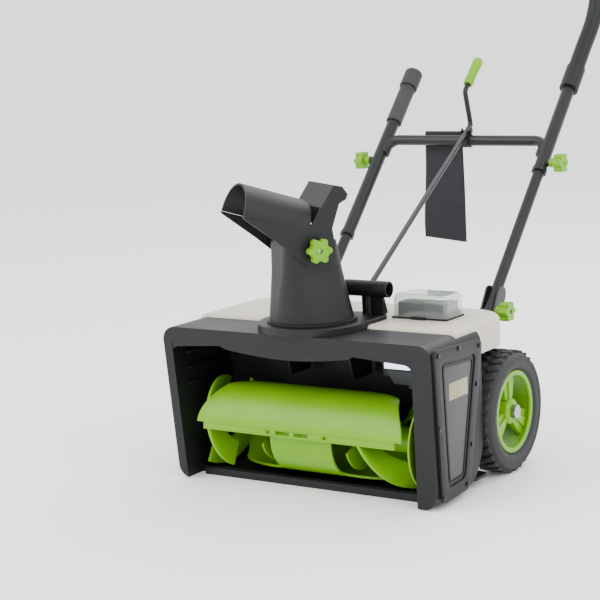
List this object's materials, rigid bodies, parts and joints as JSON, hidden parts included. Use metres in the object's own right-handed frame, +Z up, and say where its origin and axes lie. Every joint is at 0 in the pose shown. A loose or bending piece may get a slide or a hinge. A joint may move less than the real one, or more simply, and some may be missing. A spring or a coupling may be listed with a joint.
{
  "type": "snow blower",
  "caption": "Walk-behind cordless snow blower with a wide auger housing, a turning chute with a crank, two wheels and a folding tube handle.",
  "frame": {"origin": "on the ground, at the middle of the scraper's underside", "axes": "+Z up, +Y from the auger towards the person pushing, +X towards the belt side"},
  "size_m": [0.512, 0.8965, 0.861],
  "materials": {
    "black_moulding": "moulded black plastic with a fine texture",
    "black_tube": "black powder-coated steel tube",
    "lime_moulding": "lime green moulded plastic",
    "cream_moulding": "off-white moulded cover",
    "clear_lid": "clear polycarbonate",
    "tyre_rubber": "moulded black rubber with block tread",
    "steel": "turned and plated steel",
    "soft_grip": "soft rubber grip",
    "strap_fabric": "woven black strap",
    "lamp_clear": "clear lamp lens",
    "belt_rubber": "ribbed rubber belt"
  },
  "bodies": {
    "chassis": {"auger_housing": "black_moulding", "auger_bearings": "steel", "scraper": "black_moulding", "belt_cover": "black_moulding", "cover_screws": "steel", "drive_belt": "belt_rubber", "motor_can": "steel", "rear_pan": "black_moulding", "motor_cover": "cream_moulding", "battery_tray": "black_moulding", "battery_pack": "black_moulding", "lid_hinge": "black_moulding", "lid_latch": "black_moulding", "motor_controller": "steel", "lamp_housing": "black_moulding", "lamp_lens": "lamp_clear", "lamp_leds": "steel", "skid_plate": "black_moulding", "wheel_axle": "steel", "axle_caps": "steel", "chute_collar": "black_moulding", "rod_bracket": "black_moulding", "handle_bracket_left": "black_tube", "handle_bracket_right": "black_tube", "fold_bolts": "steel"},
    "auger": {"auger_shaft": "steel", "auger_rotor": "lime_moulding", "auger_pulley": "steel"},
    "motor": {"motor_rotor": "steel", "motor_pulley": "steel"},
    "wheel_left": {"tyre_left": "tyre_rubber", "wheel_rim_left": "lime_moulding"},
    "wheel_right": {"tyre_right": "tyre_rubber", "wheel_rim_right": "lime_moulding"},
    "chute": {"chute_gear": "black_moulding", "chute_tower": "black_moulding", "chute_bolts": "steel"},
    "pinion": {"drive_pinion": "black_moulding"},
    "deflector": {"deflector": "black_moulding"},
    "chute_knob": {"chute_knob": "lime_moulding"},
    "crank": {"crank_rod": "black_tube"},
    "crank_grip": {"crank_grip": "lime_moulding"},
    "lower_handle": {"lower_tube_left": "black_tube", "lower_tube_right": "black_tube"},
    "upper_handle": {"upper_frame": "black_tube", "height_bolts": "steel", "left_grip": "soft_grip", "left_grip_cap": "soft_grip", "control_handle": "black_moulding", "trigger_pin": "steel", "rod_guide": "black_moulding", "hanging_strap": "strap_fabric"},
    "fold_knob_left": {"fold_knob_left": "lime_moulding"},
    "fold_knob_right": {"fold_knob_right": "lime_moulding"},
    "height_knob_left": {"height_knob_left": "lime_moulding"},
    "height_knob_right": {"height_knob_right": "lime_moulding"},
    "trigger": {"trigger": "black_moulding"},
    "lock_button": {"lock_button": "black_moulding"},
    "battery_lid": {"battery_lid": "clear_lid"},
    "battery_button": {"battery_button": "lime_moulding"}
  },
  "joints": [
    {"name": "auger_spin", "type": "hinge", "parent": "chassis", "child": "auger", "pos_m": [0, 0.02, 0.086], "axis": [1, 0, 0], "continuous": true},
    {"name": "motor_spin", "type": "hinge", "parent": "chassis", "child": "motor", "pos_m": [0.22, 0.072, 0.212], "axis": [1, 0, 0], "continuous": true},
    {"name": "wheel_left_spin", "type": "hinge", "parent": "chassis", "child": "wheel_left", "pos_m": [-0.229, 0.205, 0.099], "axis": [1, 0, 0], "continuous": true},
    {"name": "wheel_right_spin", "type": "hinge", "parent": "chassis", "child": "wheel_right", "pos_m": [0.229, 0.205, 0.099], "axis": [1, 0, 0], "continuous": true},
    {"name": "chute_turn", "type": "hinge", "parent": "chassis", "child": "chute", "pos_m": [-0.004, 0.014, 0.254], "axis": [0, 0, 1], "range_deg": [-56, 124]},
    {"name": "pinion_spin", "type": "hinge", "parent": "chassis", "child": "pinion", "pos_m": [0.05589, 0.08903, 0.254], "axis": [0, 0, 1], "range_deg": [-450, 210]},
    {"name": "crank_turn", "type": "hinge", "parent": "chassis", "child": "crank", "pos_m": [0.05589, 0.08903, 0.306], "axis": [-0.1062, 0.9009, 0.4208], "range_deg": [-450, 450]},
    {"name": "crank_grip_spin", "type": "hinge", "parent": "crank", "child": "crank_grip", "pos_m": [-0.00055, 0.5477, 0.59156], "axis": [0, 0.735, 0.678], "continuous": true},
    {"name": "deflector_tilt", "type": "hinge", "parent": "chute", "child": "deflector", "pos_m": [-0.00959, 0.00571, 0.381], "axis": [-0.829, 0.5592, 0], "range_deg": [-20, 20]},
    {"name": "chute_knob_turn", "type": "hinge", "parent": "chute", "child": "chute_knob", "pos_m": [-0.00959, 0.00571, 0.381], "axis": [0.829, -0.5592, 0], "range_deg": [0, 360]},
    {"name": "handle_fold", "type": "hinge", "parent": "chassis", "child": "lower_handle", "pos_m": [0, 0.295, 0.243], "axis": [1, 0, 0], "range_deg": [-46, 0]},
    {"name": "handle_height", "type": "slide", "parent": "lower_handle", "child": "upper_handle", "axis": [0, 0.6947, 0.7193], "range_m": [-0.06, 0]},
    {"name": "fold_knob_left_turn", "type": "hinge", "parent": "chassis", "child": "fold_knob_left", "pos_m": [-0.185, 0.295, 0.243], "axis": [-1, 0, 0], "range_deg": [0, 360]},
    {"name": "height_knob_left_turn", "type": "hinge", "parent": "upper_handle", "child": "height_knob_left", "pos_m": [-0.165, 0.51228, 0.468], "axis": [-1, 0, 0], "range_deg": [0, 360]},
    {"name": "fold_knob_right_turn", "type": "hinge", "parent": "chassis", "child": "fold_knob_right", "pos_m": [0.185, 0.295, 0.243], "axis": [1, 0, 0], "range_deg": [0, 360]},
    {"name": "height_knob_right_turn", "type": "hinge", "parent": "upper_handle", "child": "height_knob_right", "pos_m": [0.165, 0.51228, 0.468], "axis": [1, 0, 0], "range_deg": [0, 360]},
    {"name": "trigger_pull", "type": "hinge", "parent": "upper_handle", "child": "trigger", "pos_m": [0.109, 0.763, 0.834], "axis": [0, 1, 0], "range_deg": [0, 4], "stiffness_Nm_per_rad": 1},
    {"name": "lock_button_press", "type": "slide", "parent": "upper_handle", "child": "lock_button", "axis": [0, 0, -1], "range_m": [0, 0.003], "stiffness_N_per_m": 400},
    {"name": "lid_open", "type": "hinge", "parent": "chassis", "child": "battery_lid", "pos_m": [0.135, 0.1715, 0.264], "axis": [-1, 0, 0], "range_deg": [0, 90]},
    {"name": "battery_button_press", "type": "slide", "parent": "chassis", "child": "battery_button", "axis": [0, 0, -1], "range_m": [0, 0.002], "stiffness_N_per_m": 400}
  ],
  "couplings": [
    {"joint": "motor_spin", "follows": "auger_spin", "ratio": 3},
    {"joint": "pinion_spin", "follows": "chute_turn", "ratio": -3.5714},
    {"joint": "crank_turn", "follows": "chute_turn", "ratio": -3.5714}
  ]
}
